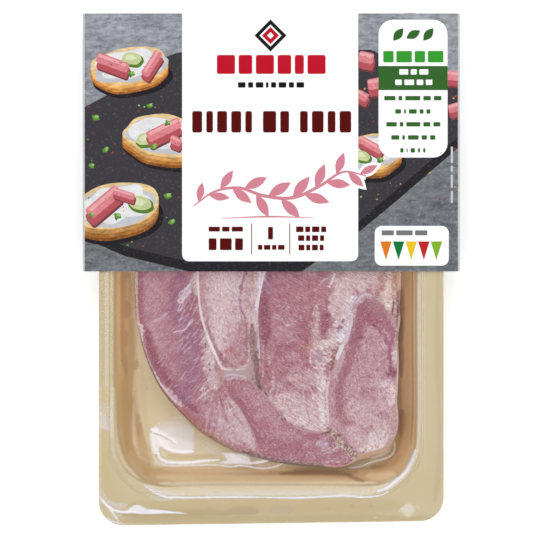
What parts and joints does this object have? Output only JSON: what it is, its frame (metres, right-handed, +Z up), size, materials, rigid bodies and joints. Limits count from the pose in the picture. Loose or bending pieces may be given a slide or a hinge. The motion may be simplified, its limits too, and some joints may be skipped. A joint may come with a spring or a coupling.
{
  "type": "pack of pork tongue in aspic",
  "caption": "Flat skin pack of sliced tongue set in aspic: a shallow formed tray with a moulded well, clear film over it, and a card sleeve round one half.",
  "frame": {"origin": "centre of the pack's base, on the surface it lies on", "axes": "+X across the pack, +Y along it towards the sleeved end, +Z up out of the clear side"},
  "size_m": [0.1638, 0.223, 0.0203],
  "materials": {
    "tray": "satin thermoformed sheet, beige gold",
    "aspic": "moist translucent jelly",
    "tongue": "cooked cut meat, moist",
    "film": "clear glossy skin film",
    "sleeve": "printed and varnished board, white at its cut edges"
  },
  "bodies": {
    "root": {"tray": "tray", "aspic": "aspic", "tongue_left": "tongue", "tongue_inner": "tongue", "tongue_middle": "tongue", "tongue_tip": "tongue", "tongue_right": "tongue", "film": "film", "sleeve": "sleeve"}
  },
  "joints": []
}
